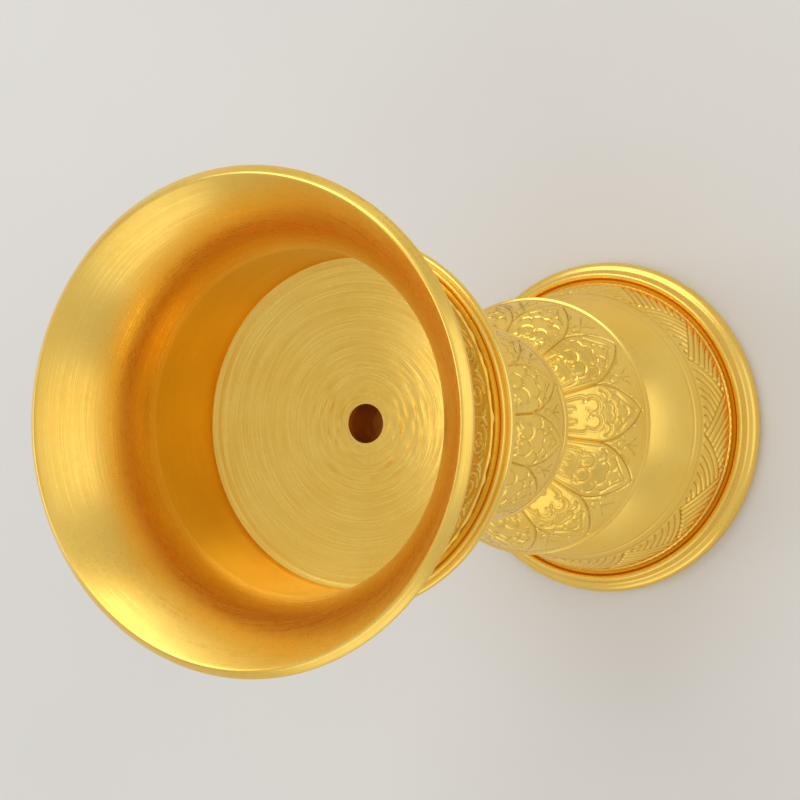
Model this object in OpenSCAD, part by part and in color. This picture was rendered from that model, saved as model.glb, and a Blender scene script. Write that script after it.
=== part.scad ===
// Butter lamp cup: a flared bowl that screws onto a stem with two lotus knobs and a bell foot.
// Millimetres. +Z is the axis of the lamp, the mouth is up and the foot stands on z = 0.

/* [Bowl] */
// Height of the rim above the table
bowl_top = 141; // [140:0.5:143]
// Radius of the crest of the rim
crest_r = 38.5; // [38:0.1:39.5]
// Radius of the outer edge of the lip
lip_r = 40; // [39.9:0.1:41]
// Drop from the crest to the outer edge of the lip
lip_drop = 1.6; // [1.4:0.1:2]
// Height of the flared part of the wall
flare_h = 20; // [18:0.5:22]
// Radius inside the wall, below the flare
wall_r = 27.9; // [27.7:0.1:28]
// Radius of the floor
floor_r = 27.5; // [27.2:0.1:27.6]
// Height of the floor's edge above the table
floor_edge_z = 103.8; // [103.6:0.1:104.2]
// Depth of the dish in the floor
floor_dish = 4; // [3.5:0.1:4]
// Thickness of the bowl's floor
floor_t = 1.2; // [1:0.1:1.2]
// Radius outside the engraved neck
neck_r = 28.7; // [28.6:0.1:28.9]
// Radius of the wick hole
wick_r = 3.3; // [3:0.1:3.6]

/* [Calyx] */
// Height of the seat between the bowl's bead and the calyx
seat_z = 108.4; // [108.2:0.1:108.6]
// Largest radius of the calyx's rim
rim_bead_r = 31.3; // [31.2:0.1:31.8]
// Largest radius of the bead on the bowl
seat_bead_r = 30.4; // [30.3:0.1:30.6]
// Height of the calyx's lower end
calyx_z = 84; // [83.8:0.1:84.4]
// Radius of the calyx's lower end
calyx_end_r = 9.6; // [9.4:0.1:10]

/* [Knobs] */
// Height of the seam round the small knob
upper_seam_z = 56.8; // [56.6:0.1:57]
// Largest radius of the small knob
upper_knob_r = 17.2; // [17:0.1:17.4]
// Height of the small knob's cap above its widest circle
upper_dome_h = 19.5; // [19.4:0.1:19.6]
// Height of the seam round the large knob
lower_seam_z = 35.2; // [35:0.1:35.4]
// Radius of the large knob's dome at its own centre, below the seam
lower_knob_r = 24.5; // [24.3:0.1:24.7]
// Height of the large knob's dome above its own centre
lower_dome_h = 25.5; // [25.4:0.1:25.6]
// Wall of the knobs
knob_t = 1; // [0.8:0.1:1.2]

/* [Foot] */
// Largest radius of the base ring
base_r = 32.2; // [32:0.1:33]
// Radius of the base ring's roll
roll_r = 1.7; // [1.5:0.1:1.8]
// Radius of the bell where it meets the ring
bell_r = 27.7; // [27.6:0.1:27.9]
// Height of the ledge that the bell stands on
ledge_z = 5.2; // [5:0.1:5.4]
// Height of the top of the bell
bell_top_z = 30.8; // [30.6:0.1:31]
// Wall of the bell
bell_t = 1.3; // [1:0.1:1.5]

/* [Fastening] */
// Radius of the tie rod, an M8 thread
rod_r = 4; // [3.5:0.1:4]
// Pitch of the thread
pitch = 1.25; // [1:0.25:1.5]
// Radius of the spigot under the bowl
spigot_r = 7; // [6.8:0.1:7]
// Running clearance of thread and spigot
run_gap = 0.05; // [0.02:0.01:0.08]
// Clearance of the rod in the parts that it clamps
rod_gap = 0.1; // [0.05:0.05:0.2]

/* [Hidden] */
$fn = 96;
GOLD = [0.90, 0.70, 0.28];
PALE = [0.93, 0.77, 0.40];
DEEP = [0.80, 0.55, 0.16];
STEPS = 20;

// Bowl
lip_z = bowl_top - lip_drop;
lip_t = 1.3;
lip_round = 0.5;
lip_edge = 0.9;
lip_back_z = lip_z - 2.2;
flare_z = bowl_top - flare_h;
flare_out = crest_r - wall_r;
flare_t = 1.04;
neck_z = flare_z - 3;
raised_z = 110.8;
raised_h = 0.6;
raised_r = neck_r + 0.35;
cove_r = neck_r + 0.1;
cove_z = raised_z - 1.3;
bead_r = 0.5;
pot_r = wall_r + 0.3;
pot_chamfer = 1;
hole_z = floor_edge_z - floor_dish;
dish_r = (floor_r * floor_r + floor_dish * floor_dish) / (2 * floor_dish);
wick_angle = asin(wick_r / dish_r);
edge_angle = asin(floor_r / dish_r);
under_r = dish_r + floor_t;
under_angle = asin(wick_r / under_r);

// Calyx and boss
calyx_in = pot_r + 0.1;
calyx_t = 1.1;
calyx_waist = [calyx_in + 0.6, 103.2];
calyx_neck = [calyx_in + 1.2, 105.8];
rim_roll_r = 0.9;
calyx_toe_z = calyx_z - 0.2;
boss_flange_z = 82.3;
boss_flange_r = calyx_end_r - 0.4;
boss_end_z = 77.5;
boss_top_z = 89.8;
socket_z = boss_top_z + 0.2;
socket_floor_z = socket_z + 1.2;
socket_top_z = hole_z - floor_t + 0.05;
socket_t = 1.2;
turns = 8;
rod_top_z = boss_end_z + turns * pitch + 0.5;
thread_depth_z = rod_top_z + 0.6;
washer_t = 0.8;
washer_gap = 0.2;

// Collars and knobs
collar_top_z = boss_flange_z - washer_t;
collar_end_r = calyx_end_r - 0.8;
collar_bead_r = 1.6;
well_z = boss_end_z - 0.5;
hole_r = rod_r + rod_gap;
upper_top_r = 8;
upper_centre_z = upper_seam_z + 1.3;
upper_top_z = upper_centre_z + upper_dome_h * sqrt(1 - pow(upper_top_r / upper_knob_r, 2));
lower_top_r = 9;
lower_centre_z = lower_seam_z - 6.5;
lower_top_z = lower_centre_z + lower_dome_h * sqrt(1 - pow(lower_top_r / lower_knob_r, 2));
upper_base_z = 54.2;
lower_base_z = 32.6;
base_end_r = 9;
seam_lip = 0.25;
seam_h = 0.7;
pan_t = 1.6;

// Foot
web_t = 2;
web_z = bell_top_z - web_t;
bell_end_r = 10.5;
bell_lip = 0.3;
web_r = 11.3;
ring_in_r = 26.2;
ring_bead_x = 29.5;
ring_bead_r = 0.6;
sunk_z = 4.8;
foot_washer_t = 1.2;
nut_h = 6.5;
nut_flats = 13;
nut_face_r = nut_flats / 2 - 0.2;
rod_tail = 1.6;
nut_top_z = web_z - foot_washer_t;
nut_z = nut_top_z - nut_h;

// Points on a cubic curve from a to d that leaves towards b and arrives from c
function curve(a, b, c, d, n = STEPS) = [for (i = [0:n])
    let (u = i / n, v = 1 - u)
    v * v * v * a + 3 * v * v * u * b + 3 * v * u * u * c + u * u * u * d];

// Points on an arc about c from angle a0 to a1
function arc(c, r, a0, a1, n = 10) = [for (i = [0:n])
    let (a = a0 + (a1 - a0) * i / n)
    [c[0] + r * cos(a), c[1] + r * sin(a)]];

// Points on a dome's outline, from height z0 at its seam up to where its radius is r1
function dome(centre_z, big_r, h, z0, r1, n = STEPS) =
    let (a0 = asin((z0 - centre_z) / h), a1 = acos(r1 / big_r))
    [for (i = [0:n]) let (a = a0 + (a1 - a0) * i / n) [big_r * cos(a), centre_z + h * sin(a)]];

function reversed(p) = [for (i = [len(p) - 1:-1:0]) p[i]];

// Radius inside the bowl's flare at height z
function flare_r(z) = wall_r + flare_out * pow((z - flare_z) / flare_h, 2);

// Outline of the foot bell, raised or lowered in radius by off
function bell_curve(off) = [for (p = curve([bell_r, ledge_z + 0.6], [26.9, 15], [21.5, 24],
    [bell_end_r, bell_top_z])) [p[0] + off, p[1]]];

// Solid turned from an outline of radius and height
module turned(points) rotate_extrude() polygon(points);

// Flat ring between two radii and two heights
module ring(r_in, r_out, z0, z1) turned([[r_in, z0], [r_out, z0], [r_out, z1], [r_in, z1]]);

module bowl_cup() color(PALE) turned(concat(
    // dished floor from the wick hole out
    arc([0, hole_z + dish_r], dish_r, wick_angle - 90, edge_angle - 90),
    [[wall_r, flare_z]],
    // flared face up to the crest
    [for (i = [1:STEPS]) let (z = flare_z + flare_h * i / STEPS) [flare_r(z), z]],
    [[lip_r, lip_z], [lip_r - lip_round, lip_z - lip_edge], [flare_r(lip_back_z) + lip_t, lip_back_z]],
    // outside of the flare down to the engraved neck
    [for (i = [STEPS - 4:-2:2]) let (z = flare_z + flare_h * i / STEPS) [flare_r(z) + flare_t, z]],
    [[neck_r, neck_z], [neck_r, raised_z + raised_h], [raised_r, raised_z]],
    [[neck_r - 0.2, raised_z - raised_h]],
    [[cove_r, cove_z], [cove_r + bead_r, seat_z + bead_r]],
    arc([seat_bead_r - bead_r, seat_z + bead_r], bead_r, 120, -60, 8),
    // pot that sits inside the calyx
    [[pot_r, seat_z], [pot_r, floor_edge_z], [pot_r - pot_chamfer, floor_edge_z - pot_chamfer]],
    arc([0, hole_z + dish_r], under_r, edge_angle - 91.5, under_angle - 90)
));

// Outline of the calyx, from its lower end to its waist
function calyx_curve() = curve([calyx_end_r, calyx_z], [19, 86], [25.3, 93.5], calyx_waist);

module bowl_calyx() color(GOLD) turned(concat(
    [[spigot_r, calyx_toe_z], [calyx_end_r, calyx_toe_z]],
    calyx_curve(),
    [calyx_neck],
    arc([rim_bead_r - rim_roll_r, seat_z - rim_roll_r], rim_roll_r, -80, 90, 8),
    [[calyx_in, seat_z], [calyx_in, calyx_waist[1]]],
    reversed([for (p = calyx_curve())
        if (p[1] > calyx_z + 1.5 && p[1] < calyx_waist[1] - 0.3) [p[0] - calyx_t, p[1] + calyx_t / 2]]),
    [[spigot_r, calyx_z + calyx_t]]
));

module wick_socket() color(DEEP) turned([
    [0, socket_z], [wick_r + socket_t, socket_z], [wick_r + socket_t, socket_top_z],
    [wick_r, socket_top_z], [wick_r, socket_floor_z], [0, socket_floor_z]
]);

module bowl_boss() color(DEEP) turned([
    [rod_r + run_gap, boss_end_z], [spigot_r, boss_end_z], [spigot_r, boss_flange_z],
    [boss_flange_r, boss_flange_z], [boss_flange_r, calyx_toe_z], [spigot_r, calyx_toe_z],
    [spigot_r, boss_top_z], [0, boss_top_z], [0, thread_depth_z], [rod_r + run_gap, thread_depth_z]
]);

module seat_washer() color(DEEP) ring(spigot_r + washer_gap, boss_flange_r, collar_top_z, boss_flange_z);

module neck_collar() color(GOLD) turned(concat(
    [[hole_r, upper_top_z], [upper_top_r, upper_top_z], [upper_top_r + 0.4, upper_top_z + 0.8]],
    arc([upper_top_r + 0.6, upper_top_z + 2.8], collar_bead_r, -70, 70),
    [[collar_end_r, collar_top_z - 0.8], [collar_end_r, collar_top_z]],
    [[spigot_r + run_gap, collar_top_z], [spigot_r + run_gap, well_z], [hole_r, well_z]]
));

// Cap of a knob: a domed shell with a flat top pierced for the rod
module knob_cap(centre_z, big_r, h, seam_z, top_r) {
    outer = dome(centre_z, big_r, h, seam_z, top_r);
    inner = dome(centre_z, big_r - knob_t, h - knob_t, seam_z, top_r - knob_t);
    top_z = outer[len(outer) - 1][1];
    inner_z = inner[len(inner) - 1][1] - 0.4;
    turned(concat(
        [[outer[0][0] + seam_lip, seam_z], [outer[0][0] + seam_lip, seam_z + seam_h]],
        [for (p = outer) if (p[1] > seam_z + seam_h + 0.3) p],
        [[hole_r, top_z], [hole_r, inner_z]],
        [for (p = reversed(inner)) if (p[1] < inner_z - 0.2) p]
    ));
}

// Underside of a knob: a shallow pan that closes the cap
module knob_base(seam_r, seam_z, bottom_z) turned(concat(
    [[hole_r, bottom_z], [base_end_r, bottom_z]],
    curve([base_end_r + 0.2, bottom_z], [seam_r * 0.7, bottom_z], [seam_r - 1, bottom_z + 0.6],
        [seam_r, seam_z - 0.4], 12),
    [[seam_r, seam_z], [seam_r - pan_t, seam_z]],
    [[seam_r * 0.7, bottom_z + knob_t + 0.3], [hole_r, bottom_z + knob_t]]
));

// Spacer with a round bead between two turned parts
module collar(z0, z1, r) turned(concat(
    [[hole_r, z0], [r - 0.6, z0]],
    arc([r - 0.6, (z0 + z1) / 2], (z1 - z0) / 2, -90, 90),
    [[hole_r, z1]]
));

module upper_knob_cap() color(GOLD)
    knob_cap(upper_centre_z, upper_knob_r, upper_dome_h, upper_seam_z, upper_top_r);

module upper_knob_base() color(DEEP) knob_base(upper_knob_r, upper_seam_z, upper_base_z);

module mid_collar() color(PALE) collar(lower_top_z, upper_base_z, base_end_r);

module lower_knob_cap() color(GOLD)
    knob_cap(lower_centre_z, lower_knob_r, lower_dome_h, lower_seam_z, lower_top_r);

module lower_knob_base() color(DEEP) knob_base(lower_knob_r - 0.9, lower_seam_z, lower_base_z);

module foot_collar() color(PALE) collar(bell_top_z, lower_base_z, base_end_r);

module foot_bell() color(GOLD) turned(concat(
    [[bell_r - bell_t, ledge_z], [bell_r, ledge_z], [bell_r + bell_lip, ledge_z + bell_lip]],
    bell_curve(0),
    [[hole_r, bell_top_z], [hole_r, web_z], [web_r, web_z]],
    [for (p = reversed(bell_curve(-bell_t))) if (p[1] < web_z - 0.2) p]
));

module foot_ring() color(GOLD) turned(concat(
    [[ring_in_r, 0], [base_r - roll_r, 0]],
    // broad roll, the crease above it and a small bead
    arc([base_r - roll_r, roll_r], roll_r, -90, 80),
    [[ring_bead_x + 0.8, 3.8], [ring_bead_x + ring_bead_r, 4.6]],
    arc([ring_bead_x, 5], ring_bead_r, 0, 180, 8),
    // sunk band between the bead and the bell
    [[ring_bead_x - 0.9, sunk_z], [bell_r + 0.4, sunk_z], [bell_r, ledge_z], [ring_in_r, ledge_z]]
));

module tie_rod() color(DEEP) translate([0, 0, nut_z - rod_tail])
    cylinder(r = rod_r, h = rod_top_z - nut_z + rod_tail);

module foot_washer() color(DEEP) ring(hole_r, 8.5, nut_top_z, web_z);

// Hexagon nut with its corners turned off at both ends
module foot_nut() color(DEEP) difference() {
    intersection() {
        translate([0, 0, nut_z]) cylinder(r = nut_flats / 2 / cos(30), h = nut_h, $fn = 6);
        turned([[0, nut_z], [nut_face_r, nut_z], [nut_face_r + 2, nut_z + 1.2],
            [nut_face_r + 2, nut_top_z - 1.2], [nut_face_r, nut_top_z], [0, nut_top_z]]);
    }
    translate([0, 0, nut_z - 1]) cylinder(r = rod_r, h = nut_h + 2);
}

bowl_cup();
bowl_calyx();
wick_socket();
bowl_boss();
seat_washer();
neck_collar();
upper_knob_cap();
upper_knob_base();
mid_collar();
lower_knob_cap();
lower_knob_base();
foot_collar();
foot_bell();
foot_ring();
tie_rod();
foot_washer();
foot_nut();
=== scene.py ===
"""Looks of the butter lamp cup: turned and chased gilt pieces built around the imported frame.

Lengths are millimetres until a mesh is made. An outline is a list of (radius, height) points, and a
relief is a height over the outline, along its outward normal.
"""

import math

import bmesh
import bpy
import numpy as np
from mathutils import Matrix, Vector


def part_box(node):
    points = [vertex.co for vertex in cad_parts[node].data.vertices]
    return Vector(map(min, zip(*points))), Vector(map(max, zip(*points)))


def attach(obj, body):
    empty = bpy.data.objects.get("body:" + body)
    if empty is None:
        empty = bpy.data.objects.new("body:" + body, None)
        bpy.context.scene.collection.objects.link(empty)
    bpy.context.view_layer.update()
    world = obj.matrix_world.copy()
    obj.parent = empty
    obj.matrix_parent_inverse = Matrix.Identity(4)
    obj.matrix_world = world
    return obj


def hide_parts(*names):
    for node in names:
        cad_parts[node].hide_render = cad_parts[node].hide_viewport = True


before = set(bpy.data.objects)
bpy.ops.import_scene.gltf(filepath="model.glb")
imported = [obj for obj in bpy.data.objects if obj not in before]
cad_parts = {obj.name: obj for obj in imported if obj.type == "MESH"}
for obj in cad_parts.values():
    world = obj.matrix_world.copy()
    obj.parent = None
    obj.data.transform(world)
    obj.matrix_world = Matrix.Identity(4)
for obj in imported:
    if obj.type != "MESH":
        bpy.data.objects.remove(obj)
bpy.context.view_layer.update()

MM = 0.001
TAU = 2 * math.pi
PETALS = 11
SCROLLS = 24
FEATHERS = 11


# Places taken from the frame

def bottom(node):
    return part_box(node)[0].z / MM


def top(node):
    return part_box(node)[1].z / MM


def reach(node):
    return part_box(node)[1].x / MM


# Outlines

def curve(a, b, c, d, n):
    """Points on a cubic curve from a to d that leaves towards b and arrives from c."""
    t = np.linspace(0, 1, n)[:, None]
    u = 1 - t
    a, b, c, d = (np.array(p, float) for p in (a, b, c, d))
    return u**3 * a + 3 * u * u * t * b + 3 * u * t * t * c + t**3 * d


def line(a, b, n=2):
    t = np.linspace(0, 1, n)[:, None]
    return (1 - t) * np.array(a, float) + t * np.array(b, float)


def arc(centre, radius, start, end, n):
    """Points on an arc, with angles in degrees."""
    t = np.radians(np.linspace(start, end, n))
    return np.array(centre, float) + radius * np.column_stack([np.cos(t), np.sin(t)])


def ellipse(centre_z, radius, height, z_from, r_to, n):
    """Points on a dome's outline, from height z_from up to where its radius is r_to."""
    start = math.asin((z_from - centre_z) / height)
    t = np.linspace(start, math.acos(r_to / radius), n)
    return np.column_stack([radius * np.cos(t), centre_z + height * np.sin(t)])


def even(points, step):
    """The same outline with its points about one step apart."""
    run = along(points)
    n = max(2, round(run[-1] / step) + 1)
    at = np.linspace(0, run[-1], n)
    return np.column_stack([np.interp(at, run, points[:, k]) for k in (0, 1)])


def along(points):
    return np.concatenate([[0], np.cumsum(np.hypot(*np.diff(points, axis=0).T))])


# Relief

def ease(x, lo, hi):
    """0 below lo, 1 above hi and smooth between."""
    t = np.clip((x - lo) / (hi - lo), 0, 1)
    return t * t * (3 - 2 * t)


def distance(points, radii, strokes):
    """Distance in mm from each (along, angle) point to the nearest stroke, measured on the surface."""
    best = np.full(len(points), 1e3)
    for s in strokes:
        a, b = s[:-1], s[1:]
        near = np.abs(points[:, 0] - s[:, 0].mean()) < np.ptp(s[:, 0]) / 2 + 2
        if not near.any():
            continue
        p, r = points[near], radii[near, None]
        seg_s = (b - a)[:, 0]
        seg_x = (b - a)[:, 1] * r
        from_s = p[:, 0, None] - a[:, 0]
        from_x = (p[:, 1, None] - a[:, 1]) * r
        share = (from_s * seg_s + from_x * seg_x) / np.maximum(seg_s**2 + seg_x**2, 1e-9)
        share = np.clip(share, 0, 1)
        d = np.hypot(from_s - share * seg_s, from_x - share * seg_x).min(axis=1)
        best[near] = np.minimum(best[near], d)
    return best


def groove(d, width, depth):
    """A cut of that width with burred shoulders, from the distance to its middle."""
    cut = np.exp(-((d / (0.5 * width)) ** 2))
    burr = np.exp(-(((d - 0.95 * width) / (0.45 * width)) ** 2))
    return depth * (0.38 * burr - cut)


def ridge(d, width, height):
    return height * np.exp(-((d / (0.5 * width)) ** 4))


def punched(run, angle, radius, cell, seed):
    """A punched ground: 1 in the middle of each punch mark and 0 between, with marks about a cell apart."""
    rng = np.random.RandomState(seed)
    around = max(8, round(TAU * radius / cell))
    rows = int(run.max() / cell) + 3
    jitter = rng.random_sample((rows, around, 2))
    x = (angle % TAU) / TAU * around
    y = (run - run.min()) / cell
    xi, yi = np.floor(x).astype(int), np.floor(y).astype(int)
    found = np.zeros(np.broadcast(x, y).shape)
    for dx in (-1, 0, 1):
        for dy in (-1, 0, 1):
            j = jitter[np.clip(yi + dy, 0, rows - 1), (xi + dx) % around]
            cx, cy = xi + dx + 0.2 + 0.6 * j[..., 0], yi + dy + 0.2 + 0.6 * j[..., 1]
            found = np.maximum(found, np.exp(-(((x - cx) ** 2 + (y - cy) ** 2) / 0.1)))
    return found


def wander(angle, waves, seed):
    """A smooth irregular line round the axis, about -1 to 1, with no seam."""
    rng = np.random.RandomState(seed)
    total = np.zeros_like(angle)
    for k in waves:
        total += np.sin(k * angle + rng.random_sample() * TAU) * (0.5 + rng.random_sample())
    return total / len(waves) ** 0.5


def rotated(relief, degrees, mirror=False):
    """The same relief turned about the axis, and mirrored if asked."""
    way = -1 if mirror else 1

    def moved(run, radii, angle):
        return relief(run, radii, (way * (angle - math.radians(degrees))) % TAU)

    return moved


def each_sector(count, run, radii, angle, height_of):
    """Fills a (rows, columns) height from height_of(index, points, radii), which sees one repeat at a time.
    Its points are (along, angle from the repeat's centre line)."""
    half = math.pi / count
    height = np.zeros((len(run), len(angle)))
    for k in range(count):
        off = (angle - (2 * k + 1) * half + math.pi) % TAU - math.pi
        cols = np.nonzero(np.abs(off) < half * 1.0001)[0]
        s, a = np.meshgrid(run, off[cols], indexing="ij")
        r = np.repeat(radii[:, None], len(cols), axis=1)
        points = np.column_stack([s.ravel(), a.ravel()])
        height[:, cols] = height_of(k, points, r.ravel()).reshape(s.shape)
    return height


# Lotus petals of the knobs and the calyx. "down" is the distance from the rim, in mm of the large knob.

PETAL_REACH = 23.4
TIP_SWEEP = ((10.2, 1), (8.2, 0.95), (3.6, 0.52), (0.9, 0.0))
LINE_W = 0.40
FINE_W = 0.31
CUT = 0.22
CROWN_HEIGHT = 0.06
GAP_DEPTH = 0.03
PUFF_HEIGHT = 0.10
PETAL_PUNCH = 0.045
BORDER_AT = 0.65
BORDER_CUT = 0.09
SWELL = 0.02


class PetalPlan:
    """Strokes of one petal, mirrored about its centre line, for a dome of any size."""

    def __init__(self, count, run, radii, flip, lobe, rng):
        self.run, self.radii, self.lobe = run, radii, lobe
        self.size = (run[-1] - run[0]) / PETAL_REACH
        self.flip = flip
        self.half = math.pi / count
        self.rng = rng

    def place(self, down):
        """Distance along the outline for a distance from the rim."""
        d = np.asarray(down, float) * self.size
        return self.run[0] + d if self.flip else self.run[-1] - d

    def share(self, points):
        """Strokes from (down, share of the half width) points, on both sides of the centre line."""
        p = np.array(points, float)
        p[:, 1] += self.rng.uniform(-0.012, 0.012)
        s = self.place(p[:, 0])
        return [np.column_stack([s, sign * p[:, 1] * self.half]) for sign in (-1, 1)]

    def bow(self, down, across, radius, start, end, n=12):
        """Arcs with their centre at (down, across), across in mm; 0 degrees points to the rim."""
        t = np.radians(np.linspace(start, end, n))
        jig = self.rng.uniform(-0.12, 0.12, 2)
        d = down + jig[0] - radius * np.cos(t)
        x = (across + jig[1] + radius * np.sin(t)) * self.size
        s = self.place(d)
        r = np.interp(s, self.run, self.radii)
        return [np.column_stack([s, sign * x / r]) for sign in (-1, 1)]

    def bold(self):
        side = line((PETAL_REACH, 1), TIP_SWEEP[0], 4)
        return self.share(side) + self.share(curve(*TIP_SWEEP, 12))

    def medium(self):
        w = self.lobe
        out = self.share(curve((6.9, 0.60), (5.6, 0.34), (4.4, 0.14), (2.6, 0.0), 9))
        out += self.share(line((PETAL_REACH, 0.66), (15.0, 0.66), 4))
        out += self.share(curve((15.0, 0.66), (13.8, 0.66), (13.4, 0.56), (13.7, 0.46), 7))
        out += self.bow(12.2, 1.0 * w, 0.92 * w, -140, 128, 22)
        out += self.bow(9.7, 2.05 * w, 0.8 * w, -80, 100)
        out += self.bow(8.9, 0.55 * w, 0.95 * w, -35, 75)
        out += self.bow(7.2, 1.45 * w, 0.8 * w, -75, 95)
        return out

    def fine(self):
        out = self.share(line((PETAL_REACH, 0.40), (17.0, 0.40), 3))
        out += self.share(curve((17.0, 0.40), (15.4, 0.42), (15.4, 0.14), (17.0, 0.14), 9))
        out += self.share(line((17.0, 0.14), (PETAL_REACH, 0.14), 3))
        out += self.bow(5.6, 0.0, 0.95, -80, 80, 10)
        out += self.share(curve((6.9, 1.0), (7.2, 0.88), (5.6, 0.80), (5.2, 0.93), 8))
        out += self.share(line((4.9, 1.0), (2.0, 1.0), 2))
        out += self.share(curve((4.4, 0.97), (3.5, 0.92), (2.8, 0.8), (2.1, 0.74), 6))
        out += self.share(curve((5.6, 0.72), (4.7, 0.66), (3.9, 0.58), (3.1, 0.46), 6))
        return out

    def outer(self, s):
        """Half width of the petal as a share, and the distance from the rim, for a place on the outline."""
        sweep = curve(*TIP_SWEEP, 24)[::-1]
        down = (s - self.run[0]) / self.size if self.flip else (self.run[-1] - s) / self.size
        return np.interp(down, sweep[:, 0], sweep[:, 1], left=0), down


def petals(count, lobe, flip, seed):
    """Relief of a whole ring of petals. The rim is at the outline's end, or at its start if flip."""

    def relief(run, radii, angle):
        rng = np.random.RandomState(seed)

        def one(_, points, r):
            plan = PetalPlan(count, run, radii, flip, lobe, rng)
            width, down = plan.outer(points[:, 0])
            share = np.abs(points[:, 1]) / plan.half
            inside = ease(width - share, -0.03, 0.06)
            crown = CROWN_HEIGHT * np.clip(1 - share**2, 0, 1) * inside
            h = crown - GAP_DEPTH * (1 - inside) * ease(down, 0.9, 2.2)
            h += groove(distance(points, r, plan.bold()), LINE_W * 1.15, CUT * 1.25)
            h += groove(distance(points, r, plan.medium()), LINE_W, CUT)
            h += groove(distance(points, r, plan.fine()), FINE_W, CUT * 0.85)
            puff = plan.bow(12.3, 1.06 * lobe, 0.05, 0, 360, 3)
            blob = distance(points, r, puff) / (lobe * plan.size)
            return h + PUFF_HEIGHT * np.clip(1 - blob**2, 0, 1)

        height = each_sector(count, run, radii, angle, one)
        whole = run[-1] - run[0]
        from_rim = (run - run[0]) if flip else (run[-1] - run)
        down = from_rim / (whole / PETAL_REACH)
        zone = ease(down, 1.6, 2.4) * (1 - ease(down, 8.5, 11))
        patches = 0.5 + 0.5 * wander(angle, (PETALS, 2 * PETALS + 1, 17), seed + 3)
        ground = punched(run[:, None], angle[None, :], radii.mean(), 0.55, seed + 1)
        height -= PETAL_PUNCH * zone[:, None] * np.clip(patches, 0, 1)[None, :] * ground
        border = groove(np.abs(from_rim - BORDER_AT), FINE_W, BORDER_CUT)
        swell = SWELL * wander(angle, (3, 5, 8, 13, 21), seed + 2)
        fade = ease(from_rim, 0, 0.5) * ease(whole - from_rim, 0, 0.5)
        return (height + border[:, None] + swell[None, :]) * fade[:, None]

    return relief


# Feather band of the foot

HATCHES = 8
HATCH_LEAN = 0.04
HATCH_W = 0.5
HATCH_CUT = 0.26
EDGE_CUT = 0.16


def feathers(first, last):
    """Relief of a zigzag of hatched triangles between two distances along the bell."""
    tall, wide = last - first, TAU / FEATHERS

    def leaning(a, b, pulls):
        """A stroke from a to b, bent sideways by pulls of (share of the way, share of the lean)."""
        bent = [(a[0] + (b[0] - a[0]) * at, a[1] + (b[1] - a[1]) * at - wide * HATCH_LEAN * pull)
                for at, pull in pulls]
        return curve(a, *bent, b, 7)

    def hatching(rng):
        found = []
        for k in range(HATCHES):
            t = (k + 0.15 + 0.2 * rng.random_sample()) / HATCHES
            found.append(leaning((first + tall * t, wide * 0.5 * t), (last, wide * (t - 0.5)),
                                 ((0.35, 1), (0.7, 1.6))))
            end = (first + tall * (1 - t) * 0.94, wide * (t + 0.5 * (1 - t)) - wide * 0.015)
            found.append(leaning((first, wide * t), end, ((0.35, 1.5), (0.75, 1))))
        return found

    def with_neighbours(strokes):
        return [s + [0, shift] for s in strokes for shift in (-wide, 0, wide)]

    def relief(run, radii, angle):
        rng = np.random.RandomState(41)
        edge = with_neighbours([line((first, 0), (last, wide / 2))])

        def one(_, points, r):
            near = with_neighbours(hatching(rng))
            return (groove(distance(points, r, near), HATCH_W, HATCH_CUT)
                    + groove(distance(points, r, edge), HATCH_W, EDGE_CUT))

        height = each_sector(FEATHERS, run, radii, angle, one)
        fade = ease(run, first - 0.5, first + 0.1) * (1 - ease(run, last - 0.05, last + 0.25))
        return height * fade[:, None]

    return relief


# Scroll vine of the neck

VINE_W = 0.37
VINE_HEIGHT = 0.36
VINE_GROUND = 0.12
VINE_PUNCH = 0.08
VINE_CELL = 0.5
SPIRAL_TURNS = 1.8
BIG_SCROLL, SMALL_SCROLL = 0.42, 0.33
LEAF_LEANS = (0.25, 0.6, 0.95)


def arc_on(along_at, radius, start, end, r):
    """Arc on a band of radius r, in (along, angle), round a place on the repeat's centre line."""
    p = arc((0, 0), radius, start, end, 12)
    return np.column_stack([along_at + p[:, 0], p[:, 1] / r])


def spiral(middle, radius, turn, r):
    """A scroll's spiral on a band of radius r, drawn from its outside inwards."""
    t = np.linspace(0, 1, 34)
    ray = radius * (1 - 0.86 * t)
    a = turn * t * SPIRAL_TURNS * TAU
    return np.column_stack([middle + ray * np.cos(a), ray * np.sin(a) / r])


def leaf(middle, tall, edge, lean, way):
    """A stroke from the stem at the repeat's edge, towards the start (-1) or the end (1) of the band."""
    start, spread, narrow = (0.15, 0.16, 0.42) if way < 0 else (0.12, 0.14, 0.36)
    a = (middle + way * start * tall, edge * 1.02)
    b = (middle + way * (0.3 + spread * lean) * tall, edge * (1 - narrow * lean))
    return curve(a, (a[0] + way * 0.9, a[1]), (b[0] - way * 0.3, b[1]), b, 6)


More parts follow.
